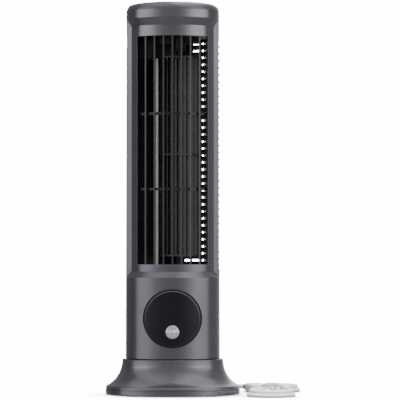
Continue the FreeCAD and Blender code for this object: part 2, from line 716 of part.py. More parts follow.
def rear_cover():
    """The shell round the sides and the back, with a bevelled strip down each front edge."""
    shell = turned([
        (tower_radius(PANEL_BOTTOM), PANEL_BOTTOM), (tower_radius(PANEL_TOP), PANEL_TOP),
        (REAR_WALL_BORE, PANEL_TOP), (REAR_WALL_BORE, PANEL_BOTTOM),
    ])
    inner = PANEL_RADIUS - PANEL_WALL
    webs = [sector(inner, REAR_WALL_BORE + 0.3, PANEL_BOTTOM, PANEL_TOP, a, b)
            for a, b in [(STRIP_ANGLE, 79.0), (-79.0, -STRIP_ANGLE)]]
    front = sector(30, 50, PANEL_BOTTOM - 1, PANEL_TOP + 1, -STRIP_ANGLE, STRIP_ANGLE)
    shell = shell.cut(front).multiFuse(webs)
    shell = shell.cut(in_front_of_strips(PANEL_BOTTOM - 1, PANEL_TOP + 1))
    opening = sector(30, 45, LOUVRE_FIRST - 1.6, louvre_top() + 1.6, LOUVRE_FROM - 0.5, LOUVRE_TO + 0.5)
    shell = shell.cut(opening)
    for azimuth in COVER_SCREWS:
        shell = shell.cut(screw_well(azimuth, CAP_SCREW_Z, tower_radius(CAP_SCREW_Z)))
    return shell


def louvre_top():
    return LOUVRE_FIRST + (LOUVRE_COUNT - 1) * LOUVRE_PITCH + LOUVRE_RISE + LOUVRE_THICK


def louvre(z):
    """One slat that leans in as it rises, like a shingle."""
    section = [
        at(LOUVRE_TIP_R, LOUVRE_FROM, z),
        at(LOUVRE_TIP_R, LOUVRE_FROM, z + LOUVRE_THICK),
        at(LOUVRE_ROOT_R, LOUVRE_FROM, z + LOUVRE_RISE + LOUVRE_THICK),
        at(LOUVRE_ROOT_R, LOUVRE_FROM, z + LOUVRE_RISE),
    ]
    face = Part.Face(Part.makePolygon(section + section[:1]))
    return face.revolve(V(0, 0, 0), UP, LOUVRE_TO - LOUVRE_FROM)


def rear_grille():
    slats = [louvre(LOUVRE_FIRST + k * LOUVRE_PITCH) for k in range(LOUVRE_COUNT)]
    low = LOUVRE_FIRST - 3.4
    high = louvre_top() + 3.4
    stays = []
    for azimuth in STAY_AZIMUTHS:
        start = azimuth - STAY_HALF_ANGLE
        end = azimuth + STAY_HALF_ANGLE
        stays.append(sector(STAY_RADIUS, REAR_WALL_BORE, low, high, start, end))
    rims = [sector(STAY_RADIUS, REAR_WALL_BORE, a, b, LOUVRE_FROM, LOUVRE_TO)
            for a, b in [(low, low + 2.0), (high - 2.0, high)]]
    return stays[0].multiFuse(stays[1:] + rims + slats)


# Top cap

def top_cap():
    """A shell with a softly rounded top edge, cut back at a slant over the recessed front."""
    radius = tower_radius(PANEL_TOP)
    corner = 6.2
    corner_low = HEIGHT - 7.1
    turn = math.radians(75)
    centre = V(radius - corner, 0, corner_low)
    knee = centre + V(corner * math.cos(turn), 0, corner * math.sin(turn))
    crown = (HEIGHT - knee.z) / (1 - math.sin(turn))
    crown_centre = knee - V(crown * math.cos(turn), 0, crown * math.sin(turn))
    crown_turn = (turn + math.pi / 2) / 2
    crown_middle = crown_centre + V(crown * math.cos(crown_turn), 0, crown * math.sin(crown_turn))
    half_turn = turn / 2
    corner_middle = centre + V(corner * math.cos(half_turn), 0, corner * math.sin(half_turn))
    start = V(radius, 0, corner_low)
    end = V(crown_centre.x, 0, HEIGHT)
    bore = PANEL_RADIUS - PANEL_WALL - 0.1
    edges = [arc(start, corner_middle, knee), arc(knee, crown_middle, end)]
    edges += chain([
        (end.x, HEIGHT), (0, HEIGHT), (0, HEIGHT - 2.4), (bore - 4, HEIGHT - 2.4), (bore, HEIGHT - 7),
        (bore, PANEL_TOP), (radius, PANEL_TOP), (radius, corner_low),
    ])
    cap = turned_edges(edges)
    undercut = outside_cone(PANEL_RADIUS, PANEL_TOP, tower_radius(CAP_EDGE), CAP_EDGE)
    cap = cap.cut(undercut.common(in_front_of_strips(PANEL_TOP, CAP_EDGE)))
    spigot = sector(34.4, REAR_WALL_BORE - 0.1, PANEL_TOP - 7.0, PANEL_TOP + 0.1, 95, 265)
    cap = cap.fuse(spigot)
    for azimuth in COVER_SCREWS:
        cap = cap.cut(screw_well(azimuth, CAP_SCREW_Z, tower_radius(CAP_SCREW_Z)))
    return cap.removeSplitter()


# Power socket and leads

def usb_board():
    return block(-7, 7, 25.0, 35.2, SOCKET_HEIGHT - 2.6, SOCKET_HEIGHT - 1.4)


def usb_socket():
    z = SOCKET_HEIGHT
    case = rounded_bar(7.7, 2.8, 31.0, 37.2, 0, z, 0.5)
    return case.cut(rounded_bar(6.95, 1.95, 31.8, 38, 0, z, 0.5))


def lead(points, radius):
    """A thin wire inside the housing, with straight runs joined by balls."""
    pieces = []
    for a, b in zip(points, points[1:]):
        pieces.append(Part.makeCylinder(radius, (b - a).Length, a, b - a))
    joints = [Part.makeSphere(radius, p) for p in points[1:-1]]
    return pieces[0].multiFuse(pieces[1:] + joints)


def motor_leads():
    """Two wires from the control board to the motor's terminals."""
    wires = []
    for side in (-1, 1):
        tag = V(ROTOR_X + side * 0.6, ROTOR_Y + side * TAG_Y, TAG_LOW - WIRE_RADIUS)
        board = V(6.0 + side * 2.5, BOARD_BACK_Y + 0.3, 53.0)
        wires.append(lead([board, board + V(0, 5, -1), V(tag.x, tag.y - 3, tag.z - 5), tag], WIRE_RADIUS))
    return Part.makeCompound(wires)


def power_leads():
    """Two wires from the socket's board to the control board."""
    wires = []
    for side in (-1, 1):
        x = side * 3.0
        high = SOCKET_HEIGHT - 0.65
        low = SOCKET_HEIGHT - 9.0
        far_x = side * 2.0 - 8.0
        stops = [V(x, 27, high), V(x, 21, high), V(x, 17, low), V(far_x, -18, low)]
        wires.append(lead(stops + [V(far_x, BOARD_BACK_Y + 1, 45.5)], WIRE_RADIUS))
    return Part.makeCompound(wires)


# Cable

def rounded_route(points):
    """A wire of straight runs joined by the largest tangent arcs that the runs allow, and its radii."""
    edges = []
    radii = []
    start = points[0]
    for before, corner, after in zip(points, points[1:], points[2:]):
        run_in = corner - before
        run_out = after - corner
        reach = 0.45 * min(run_in.Length, run_out.Length)
        turn = run_in.getAngle(run_out)
        way_in = V(run_in).normalize()
        way_out = V(run_out).normalize()
        arc_start = corner - way_in * reach
        arc_end = corner + way_out * reach
        radius = reach / math.tan(turn / 2)
        inward = (way_out - way_in).normalize()
        centre = corner + inward * math.hypot(radius, reach)
        middle = centre - inward * radius
        edges.append(line(start, arc_start))
        edges.append(arc(arc_start, middle, arc_end))
        radii.append(round(radius, 1))
        start = arc_end
    edges.append(line(start, points[-1]))
    return Part.Wire(edges), radii


def cord_lead():
    """The free stretch of cable from the small plug down to the table and round to the hank."""
    wire, radii = rounded_route([V(*p) for p in CORD_ROUTE])
    start = V(*CORD_ROUTE[0])
    way = (V(*CORD_ROUTE[1]) - start).normalize()
    ring = Part.Wire([Part.Circle(start, way, CORD_RADIUS).toShape()])
    tube = wire.makePipeShell([ring], True, False, 2)
    ideal = math.pi * CORD_RADIUS ** 2 * wire.Length
    print("cord radii", radii)
    print("cord length", round(wire.Length, 1), "volume share", round(tube.Volume / ideal, 4))
    return tube


def hank_plan():
    """The outline of the folded cable: a long round lobe, a waist under the tie and a slim lobe."""
    points = [
        ((72.6, 14.0), (73.8, 6.0), (71.0, -2.0)),
        ((71.0, -2.0), (63.0, -18.0), (60.4, -34.0)),
        ((60.4, -34.0), (64.0, -51.0), (79.5, -58.6)),
        ((79.5, -58.6), (96.0, -53.0), (101.5, -38.0)),
        ((101.5, -38.0), (98.5, -14.0), (91.0, 6.0)),
        ((91.0, 6.0), (95.6, 18.0), (102.6, 31.0)),
        ((102.6, 31.0), (108.4, 51.0), (98.5, 66.0)),
        ((98.5, 66.0), (89.4, 58.5), (86.8, 46.0)),
        ((86.8, 46.0), (86.3, 30.0), (84.9, 14.0)),
    ]
    edges = [arc(V(*a, 0), V(*b, 0), V(*c, 0)) for a, b, c in points]
    edges.append(line(V(84.9, 14.0, 0), V(72.6, 14.0, 0)))
    return Part.Wire(edges)


def cord_hank():
    return Part.Face(hank_plan()).extrude(V(0, 0, HANK_HEIGHT))


def cable_tie():
    """A narrow band round the waist of the hank."""
    low = TIE_Y - TIE_WIDTH / 2
    high = TIE_Y + TIE_WIDTH / 2
    band = block(72.6, 92.4, low, high, 0, HANK_HEIGHT + TIE_PROUD)
    return band.cut(cord_hank())


def micro_plug_shell():
    return rounded_bar(6.75, 1.75, 32.2, 38.2, 0, SOCKET_HEIGHT, 0.45)


def micro_plug_body():
    return rounded_bar(10.6, 7.4, 38.2, 57.0, 0, SOCKET_HEIGHT, 2.2)


def micro_strain_relief():
    return cone_y(3.1, 2.2, 57.0, PLUG_END_Y, 0, SOCKET_HEIGHT)


def tilted(shape):
    """Moves a piece of the large plug from the Y axis to where it lies beside the hank."""
    shape.rotate(V(0, 0, 0), UP, USB_TILT)
    shape.translate(V(*USB_START, 0))
    return shape


def usb_strain_relief():
    return tilted(cone_y(2.2, 3.3, 0.4, 12.0, 0, USB_HEIGHT - 0.5))


def usb_plug_body():
    return tilted(rounded_bar(15.6, 7.8, 12.0, 33.0, 0, USB_HEIGHT, 1.8))


def usb_plug_shell():
    z = USB_HEIGHT
    shell = block(-6, 6, 33.0, 47.6, z - 2.25, z + 2.25)
    return tilted(shell.cut(block(-5.7, 5.7, 36.0, 50, z - 0.05, z + 1.95)))


def save(name, shape):
    print(name, "valid" if shape.isValid() else "NOT VALID", len(shape.Solids), round(shape.Volume))
    shape.exportStep(os.path.join("parts", name + ".step"))


def main():
    os.makedirs("parts", exist_ok=True)
    housing = lower_housing().multiFuse(board_posts())
    save("lower_housing", housing)
    for make in (
        base_tray, base_shell, tray_screws, rubber_feet, housing_screws, cap_screws, control_disc,
        button_cap, button_stem, switch_plunger, tact_switch, control_board, board_screws,
        board_components, motor_can, motor_end_cap, motor_deck, motor_screws, motor_shaft,
        impeller_hub, impeller, upper_pin, bearing_bush, bearing_bracket, scroll_wall, tongue_wall,
        air_guide, front_cover, front_grille, rear_cover, rear_grille, top_cap, usb_board, usb_socket,
        motor_leads, power_leads, cord_lead, cord_hank, cable_tie, micro_plug_shell,
        micro_plug_body, micro_strain_relief, usb_strain_relief, usb_plug_body, usb_plug_shell,
    ):
        save(make.__name__, make())


main()
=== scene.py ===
"""The looks of the desk fan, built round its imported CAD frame.

Metres, in the frame's axes: +Z up, the front faces -Y, +X is the right side. Lengths written in
millimetres are multiplied by MM.
"""
import math
import bmesh
import bpy
from mathutils import Matrix, Vector


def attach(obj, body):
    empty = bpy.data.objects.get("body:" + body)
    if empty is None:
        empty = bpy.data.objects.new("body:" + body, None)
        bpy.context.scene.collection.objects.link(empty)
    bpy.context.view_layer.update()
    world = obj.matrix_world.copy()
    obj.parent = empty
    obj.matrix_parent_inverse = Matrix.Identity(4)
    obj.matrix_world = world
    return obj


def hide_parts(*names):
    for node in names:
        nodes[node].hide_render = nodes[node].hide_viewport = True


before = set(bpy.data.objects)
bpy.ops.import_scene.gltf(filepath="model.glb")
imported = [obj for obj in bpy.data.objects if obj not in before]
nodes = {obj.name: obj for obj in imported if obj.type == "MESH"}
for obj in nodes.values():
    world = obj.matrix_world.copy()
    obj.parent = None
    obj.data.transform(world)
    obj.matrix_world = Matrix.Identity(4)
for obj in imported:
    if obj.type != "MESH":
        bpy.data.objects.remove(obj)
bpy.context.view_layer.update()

MM = 0.001
scene = bpy.context.scene


def link(obj):
    scene.collection.objects.link(obj)
    return obj


# Camera: far off and level, as a telephoto lens sees the fan

CAMERA_PLACE = (0.0227, -2.480, 0.124)
CAMERA_TILT = 90.887      # degrees from straight down
CAMERA_LENS = 267.3       # on a 36 mm sensor


def set_camera():
    """The photograph's viewing angle."""
    data = bpy.data.cameras.new("camera")
    data.lens = CAMERA_LENS
    data.sensor_width = 36.0
    camera = link(bpy.data.objects.new("camera", data))
    camera.location = CAMERA_PLACE
    camera.rotation_euler = (math.radians(CAMERA_TILT), 0, 0)
    scene.camera = camera


set_camera()


# Cord: its route, then the hank's turns, in millimetres

CORD_DIAMETER = 3.5 * MM
LOW = 1.75        # a strand that lies on the table
HIGH = 4.75       # a strand in the groove between two others
ROUTE = [
    (0.0, 67.0, 38.0),
    (0.5, 83.0, 37.0),
    (5.5, 99.0, 27.5),
    (16.0, 111.0, 14.0),
    (33.0, 117.5, 4.6),
    (54.0, 113.0, 1.9),
    (71.0, 99.0, 1.75),
    (80.8, 79.0, 1.75),
    (83.8, 57.0, 1.75),
    (83.9, 35.0, 1.75),
    (82.4, 14.0, 1.75),
]
# The large round fold, from the waist down the left and up the right: the outermost and innermost turns
FOLD_OUTER = [
    (71.2, -6.0), (65.6, -17.0), (62.3, -30.0), (63.6, -44.0), (70.8, -54.6), (81.8, -58.4),
    (92.8, -54.6), (99.3, -44.0), (99.9, -30.0), (97.0, -16.0), (92.9, -5.0),
]
FOLD_INNER = [
    (78.8, -6.0), (73.9, -17.0), (69.9, -30.0), (71.0, -41.5), (75.7, -48.4), (81.8, -50.8),
    (88.0, -48.4), (92.0, -41.5), (92.3, -30.0), (89.4, -16.0), (86.0, -5.0),
]
# How far in each turn lies, from 0 at the outermost to 1, with its heights
FOLD_TURNS = [
    (0.0, [LOW] * 11),
    (0.5, [LOW] * 11),
    (1.0, [3.4, 2.0] + [LOW] * 6 + [2.2, 3.4, 4.6]),
    (0.25, [HIGH] * 9),
]
# The waist's strands, going down and coming up
WAIST_DOWN = [(76.6, 4.0, LOW), (80.7, 4.0, LOW), (82.9, 4.0, HIGH + 0.2), (78.6, 4.0, HIGH)]
WAIST_UP = [(89.3, 4.0, LOW), (85.3, 4.0, LOW), (87.3, 4.0, HIGH)]
# The slim fold, up the right, over and down the left
SLIM_FOLDS = [
    [(94.2, 16.0, LOW), (98.9, 27.0, LOW), (103.8, 38.5, LOW), (106.7, 49.0, LOW), (105.3, 59.2, LOW),
     (97.2, 65.2, LOW), (89.3, 59.5, LOW), (87.5, 49.0, LOW), (87.5, 37.0, LOW), (87.5, 26.0, LOW),
     (86.9, 15.5, LOW)],
    [(90.4, 16.0, LOW), (95.0, 27.0, LOW), (99.9, 38.5, LOW), (103.0, 47.5, 1.8), (101.6, 55.2, 2.6),
     (96.1, 59.0, 4.4), (90.6, 55.0, 5.0), (89.3, 46.5, 4.9), (89.3, 36.5, HIGH), (89.2, 26.0, HIGH),
     (88.4, 15.5, 5.0)],
    [(92.4, 16.0, HIGH), (96.9, 27.0, HIGH), (101.8, 38.0, HIGH), (104.8, 48.5, HIGH), (103.4, 58.0, 4.9),
     (95.5, 63.4, 5.1), (87.6, 58.0, 5.3), (85.7, 48.5, 4.9), (85.7, 37.0, HIGH), (85.7, 26.0, HIGH),
     (84.7, 15.5, 4.9)],
]
# Over the waist and into the large plug
CROSSING = [
    (95.4, -20.0, 6.3), (90.4, -11.0, 8.5), (83.4, -4.6, 8.9), (77.8, 1.4, 8.4), (75.4, 7.6, 5.9),
    (74.9, 12.0, 3.9), (74.7, 15.5, 3.4),
]


def fold_turn(turn):
    """One turn of the large fold, between its outermost and innermost turns."""
    share, heights = FOLD_TURNS[turn]
    spots = []
    for outer, inner, z in zip(FOLD_OUTER, FOLD_INNER, heights):
        x = outer[0] + share * (inner[0] - outer[0])
        y = outer[1] + share * (inner[1] - outer[1])
        spots.append((x, y, z))
    return spots


def cord_points():
    """The spline's control points from the socket to the large plug."""
    points = list(ROUTE)
    for turn in range(len(FOLD_TURNS)):
        points.append(WAIST_DOWN[turn])
        points += fold_turn(turn)
        if turn < len(SLIM_FOLDS):
            points.append(WAIST_UP[turn])
            points += SLIM_FOLDS[turn]
    return points + CROSSING


def make_cord():
    """The whole cord as one smooth curve."""
    data = bpy.data.curves.new("usb_cord", "CURVE")
    data.dimensions = "3D"
    data.resolution_u = 8
    data.bevel_depth = CORD_DIAMETER / 2
    data.bevel_resolution = 5
    data.use_fill_caps = True
    spline = data.splines.new("NURBS")
    points = cord_points()
    spline.points.add(len(points) - 1)
    for point, place in zip(spline.points, points):
        point.co = (place[0] * MM, place[1] * MM, place[2] * MM, 1)
    spline.order_u = 3
    spline.use_endpoint_u = True
    return link(bpy.data.objects.new("usb_cord", data))


cord = make_cord()


# Node trees

class Tree:
    """Short ways to add shader nodes. A socket given another socket is linked to it."""

    def __init__(self, tree):
        self.tree = tree

    def add(self, kind, settings=None, **sockets):
        node = self.tree.nodes.new("ShaderNode" + kind)
        for key, value in (settings or {}).items():
            setattr(node, key, value)
        for key, value in sockets.items():
            self.put(node.inputs[key.replace("_", " ")], value)
        return node

    def put(self, socket, value):
        if isinstance(value, bpy.types.NodeSocket):
            self.tree.links.new(value, socket)
        else:
            socket.default_value = value

    def math(self, operation, a, b=0.0):
        node = self.add("Math", {"operation": operation})
        self.put(node.inputs[0], a)
        self.put(node.inputs[1], b)
        return node.outputs[0]

    def ramp(self, factor, stops, interpolation="LINEAR"):
        node = self.add("ValToRGB")
        self.put(node.inputs["Fac"], factor)
        band = node.color_ramp
        band.interpolation = interpolation
        stops = sorted(stops)
        band.elements[0].position = stops[0][0]
        band.elements[-1].position = stops[-1][0]
        for place, value in stops[1:-1]:
            band.elements.new(place)
        for element, (place, value) in zip(band.elements, stops):
            element.color = value if isinstance(value, tuple) else (value, value, value, 1)
        return node.outputs["Color"]

    def scaled_ramp(self, factor, stops):
        """A ramp whose values may be over 1."""
        most = max(value for _, value in stops)
        shade = self.ramp(factor, [(place, value / most) for place, value in stops])
        return self.math("MULTIPLY", shade, most)

    def span(self, value, low, high, to_low, to_high):
        node = self.add("MapRange")
        for key, item in zip(("Value", "From Min", "From Max", "To Min", "To Max"),
                             (value, low, high, to_low, to_high)):
            self.put(node.inputs[key], item)
        return node.outputs["Result"]

    def noise(self, scale, detail=3.0, coords=None, roughness=0.5):
        node = self.add("TexNoise", Scale=scale, Detail=detail, Roughness=roughness)
        if coords is not None:
            self.put(node.inputs["Vector"], coords)
        return node.outputs["Fac"]


# Studio: world, softboxes and floor

AROUND = [      # degrees round the fan from the front, and how bright the studio is there
    (-180, 0.30), (-150, 0.22), (-104, 0.20), (-96, 0.34), (-30, 0.34), (0, 0.30), (30, 0.34),
    (94, 0.36), (104, 0.34), (140, 0.36), (158, 0.6), (166, 2.2), (174, 2.2), (179, 0.45), (180, 0.30),
]
BANDS = [       # the two bright bands as they go on above the softboxes
    (-180, 0.6), (-150, 0.7), (-106, 0.45), (-92, 0.5), (-62, 0.5), (-38, 0.36), (-15, 0.24), (0, 0.20),
    (15, 0.28), (36, 0.70), (62, 1.0), (90, 1.0), (106, 0.9), (150, 0.9), (180, 0.6),
]
FLOOR_TO_SKY = [    # the sine of the elevation, and how much of AROUND is seen
    (-1.0, 1.5), (-0.7, 1.7), (-0.35, 1.2), (-0.1, 1.05), (0.0, 1.0), (0.5, 1.2), (1.0, 1.6),
]
# The sine of the elevation, and how much of BANDS is added
BANDS_RISE = [(-1.0, 0.0), (0.66, 0.0), (0.755, 1.0), (0.94, 1.0), (1.0, 1.0)]
BANDS_GLOW = 1.1
CAMERA_WHITE = 16.0       # what the camera sees behind the fan


def make_world():
    world = bpy.data.worlds.new("studio")
    scene.world = world
    world.use_nodes = True
    world.node_tree.nodes.clear()
    t = Tree(world.node_tree)
    place = t.add("SeparateXYZ", Vector=t.add("TexCoord").outputs["Generated"])
    x, y, z = place.outputs
    turn = t.math("ARCTAN2", x, t.math("MULTIPLY", y, -1.0))
    share = t.span(turn, -math.pi, math.pi, 0, 1)
    height = t.span(z, -1, 1, 0, 1)
    around = t.scaled_ramp(share, [((a + 180) / 360, v) for a, v in AROUND])
    bands = t.scaled_ramp(share, [((a + 180) / 360, v) for a, v in BANDS])
    floor_to_sky = t.scaled_ramp(height, [((v + 1) / 2, w) for v, w in FLOOR_TO_SKY])
    rise = t.scaled_ramp(height, [((v + 1) / 2, w) for v, w in BANDS_RISE])
    low = t.math("MULTIPLY", around, floor_to_sky)
    glow = t.math("ADD", low, t.math("MULTIPLY", t.math("MULTIPLY", bands, rise), BANDS_GLOW))
    seen = t.add("LightPath").outputs["Is Camera Ray"]
    strength = t.math("MAXIMUM", glow, t.math("MULTIPLY", seen, CAMERA_WHITE))
    back = t.add("Background", Strength=strength)
    back.inputs["Color"].default_value = (1, 1, 1, 1)
    t.tree.links.new(back.outputs[0], t.add("OutputWorld").inputs["Surface"])


BOX_DISTANCE = 1.3
BOX_LOW = -0.14
BOX_HIGH = 1.5


def softbox(name, azimuth, half_width, glow, side_stops, up_stops):
    """An upright lit panel that faces the fan's axis and lets other light through. The side stops run
    0..1 across it, from the fan's left to its right, and the up stops are heights above the table."""
    mesh = bpy.data.meshes.new(name)
    h = (BOX_HIGH - BOX_LOW) / 2
    mesh.from_pydata([(-half_width, 0, -h), (half_width, 0, -h), (half_width, 0, h), (-half_width, 0, h)],
                     [], [(0, 1, 2, 3)])
    panel = link(bpy.data.objects.new(name, mesh))
    a = math.radians(azimuth)
    panel.location = (BOX_DISTANCE * math.sin(a), -BOX_DISTANCE * math.cos(a), (BOX_LOW + BOX_HIGH) / 2)
    panel.rotation_euler = (0, 0, a)
    panel.visible_camera = False
    panel.visible_shadow = False
    material = bpy.data.materials.new(name)
    material.use_nodes = True
    material.node_tree.nodes.clear()
    t = Tree(material.node_tree)
    place = t.add("SeparateXYZ", Vector=t.add("TexCoord").outputs["Object"])
    side = t.ramp(t.span(place.outputs[0], -half_width, half_width, 0, 1), side_stops)
    rows = [((z - BOX_LOW) / (2 * h), value) for z, value in up_stops]
    up = t.ramp(t.span(place.outputs[2], -h, h, 0, 1), rows)
    strength = t.math("MULTIPLY", t.math("MULTIPLY", side, up), glow)
    shine = t.add("Emission", Strength=strength)
    both = t.add("AddShader")
    t.put(both.inputs[0], shine.outputs[0])
    t.put(both.inputs[1], t.add("BsdfTransparent").outputs[0])
    t.tree.links.new(both.outputs[0], t.add("OutputMaterial").inputs["Surface"])
    mesh.materials.append(material)


FLOOR_HALF = 40               # metres from the middle to each edge
FLOOR_SHADE_REACH = 0.06      # how far from the fan the floor's painted contact shadow reaches
FLOOR_DARKEST = 1.2


def make_floor():
    """A white floor that only the camera sees, with a painted contact shadow: its glow is darker where
    the fan and the cable are close to it.
    """
    mesh = bpy.data.meshes.new("floor")
    e = FLOOR_HALF
    mesh.from_pydata([(-e, -e, 0), (e, -e, 0), (e, e, 0), (-e, e, 0)], [], [(0, 1, 2, 3)])
    floor = link(bpy.data.objects.new("floor", mesh))
    floor.visible_glossy = False
    floor.visible_diffuse = False
    floor.visible_shadow = False
    floor.visible_transmission = False
    material = bpy.data.materials.new("floor")
    material.use_nodes = True
    material.node_tree.nodes.clear()
    material.cycles.emission_sampling = "NONE"
    t = Tree(material.node_tree)
    # Painted contact shadow: the glow dims where ambient occlusion finds the fan or the cable near
    shade = t.add("AmbientOcclusion", {"samples": 8}, Distance=FLOOR_SHADE_REACH)
    strength = t.span(shade.outputs["AO"], 0.5, 1.0, FLOOR_DARKEST, CAMERA_WHITE)
    shine = t.add("Emission", Strength=strength)
    t.tree.links.new(shine.outputs[0], t.add("OutputMaterial").inputs["Surface"])
    mesh.materials.append(material)


OVERHEAD_PLACE = Vector((0.1, -0.5, 1.7))
OVERHEAD_AIM = Vector((0.04, 0, 0.05))
OVERHEAD_WATTS = 90
OVERHEAD_SIZE = 1.6


def overhead():
    """Lights the cable and the plastics from above. The paint doesn't mirror it."""
    data = bpy.data.lights.new("overhead", "AREA")
    data.shape = "DISK"
    data.size = OVERHEAD_SIZE
    data.energy = OVERHEAD_WATTS
    light = link(bpy.data.objects.new("overhead", data))
    light.location = OVERHEAD_PLACE
    light.rotation_euler = (OVERHEAD_PLACE - OVERHEAD_AIM).to_track_quat("Z", "Y").to_euler()
    light.visible_glossy = False


make_world()
make_floor()
overhead()
# The side softboxes' glow at heights above the table: it falls towards the table and above the cap
UP_THE_SIDES = [(-0.14, 0.47), (-0.05, 0.44), (-0.02, 0.14), (-0.005, 0.12), (0.072, 0.245),
                (0.20, 0.43), (0.25, 0.24), (0.35, 0.30), (0.39, 0.80), (0.42, 1.0), (0.45, 1.0),
                (0.475, 0.25), (0.9, 0.165), (1.5, 0.09)]
softbox("softbox_left", -61.5, 0.96, 4.0,
        [(0.0, 0.8), (0.2, 1.0), (0.423, 0.98), (0.558, 0.80), (0.645, 0.55), (0.7266, 0.3),
         (0.907, 0.08), (1.0, 0.0)], UP_THE_SIDES)
softbox("softbox_right", 55.1, 1.095, 4.9,
        [(0.0, 0.0), (0.228, 0.13), (0.373, 0.5), (0.447, 0.8), (0.5155, 0.98), (0.658, 1.0),
         (0.814, 0.88), (1.0, 0.8)], UP_THE_SIDES)
softbox("softbox_front", 0, 1.5, 0.27,
        [(0.0, 0.0), (0.2, 0.95), (0.35, 1.0), (0.5, 0.8), (0.65, 1.0), (0.8, 0.95), (1.0, 0.0)],
        [(-0.14, 1.0), (-0.045, 1.0), (-0.005, 0.45), (0.072, 0.75), (0.41, 0.9), (0.6, 0.7), (1.5, 0.5)])


# Finishes

WAVE_PERIOD = 0.314       # how far apart a wave texture's rings are at a scale of 1


def finish(name, colour, rough, metallic=0.0, vary=0.08, rough_vary=0.06, grain=0.004, grain_scale=2400,
           edge=0.25, coat=0.0, coat_rough=0.08, specular=0.5, cloud=60, wear=0.0, subsurface=0.0,
           anisotropic=0.0, rings=None):
    """A finish from noise: cloudy tone, uneven gloss, fine grain and rounded edges. Grain and edge
    are in millimetres, scales in cycles per metre. wear lightens the edges. rings = (centre, pitch,
    depth), in millimetres, turns circular grooves about an axis along Y."""
    material = bpy.data.materials.new(name)
    material.use_nodes = True
    t = Tree(material.node_tree)
    shader = material.node_tree.nodes["Principled BSDF"]
    coords = t.add("TexCoord").outputs["Object"]
    cloudy = t.noise(cloud, 4.0, coords)
    fine = t.noise(grain_scale, 2.0, coords)
    dark = tuple(c * (1 - vary) for c in colour) + (1,)
    light = tuple(min(1, c * (1 + vary)) for c in colour) + (1,)
    mixed = t.math("ADD", t.math("MULTIPLY", cloudy, 0.6), t.math("MULTIPLY", fine, 0.4))
    tone = t.ramp(mixed, [(0.3, dark), (0.7, light)])
    gloss = t.span(mixed, 0.3, 0.7, max(0.02, rough - rough_vary), min(1, rough + rough_vary))
    normal = None
    if edge:
        rounded = t.add("Bevel", {"samples": 4}, Radius=edge * MM)
        normal = rounded.outputs["Normal"]
        if wear:
            flat = t.add("NewGeometry").outputs["Normal"]
            turn = t.add("VectorMath", {"operation": "DOT_PRODUCT"})
            t.put(turn.inputs[0], normal)
            t.put(turn.inputs[1], flat)
            mask = t.span(turn.outputs["Value"], 0.995, 0.9, 0, wear)
            worn = t.add("Mix", {"data_type": "RGBA"})
            t.put(worn.inputs["Factor"], t.math("MULTIPLY", mask, cloudy))
            t.put(worn.inputs[6], tone)
            t.put(worn.inputs[7], tuple(min(1, 1.7 * c + 0.02) for c in colour) + (1,))
            tone = worn.outputs[2]
    if rings:
        centre, pitch, depth = rings
        shifted = t.add("Mapping")
        t.put(shifted.inputs["Vector"], coords)
        shifted.inputs["Location"].default_value = [-c * MM for c in centre]
        wave = t.add("TexWave", {"wave_type": "RINGS", "rings_direction": "Y"},
                     Vector=shifted.outputs[0], Scale=WAVE_PERIOD / (pitch * MM), Distortion=0.4,
                     Detail=1.0)
        wave.inputs["Detail Scale"].default_value = 2.0
        grooves = t.add("Bump", Height=wave.outputs["Fac"], Distance=depth * MM, Strength=1.0)
        if normal:
            t.put(grooves.inputs["Normal"], normal)
        normal = grooves.outputs["Normal"]
        turned = t.add("Tangent", {"direction_type": "RADIAL", "axis": "Y"})
        t.put(shader.inputs["Tangent"], turned.outputs[0])
    bump = t.add("Bump", Height=fine, Distance=grain * MM, Strength=1.0)
    if normal:
        t.put(bump.inputs["Normal"], normal)
    t.put(shader.inputs["Base Color"], tone)
    t.put(shader.inputs["Roughness"], gloss)
    t.put(shader.inputs["Normal"], bump.outputs["Normal"])
    for socket, value in (("Metallic", metallic), ("Specular IOR Level", specular), ("Coat Weight", coat),
                          ("Coat Roughness", coat_rough), ("Subsurface Weight", subsurface),
                          ("Anisotropic", anisotropic)):
        if value:
            shader.inputs[socket].default_value = value
    if subsurface:
        shader.inputs["Subsurface Radius"].default_value = (1.0, 0.95, 0.9)
        shader.inputs["Subsurface Scale"].default_value = 0.8 * MM
    return material


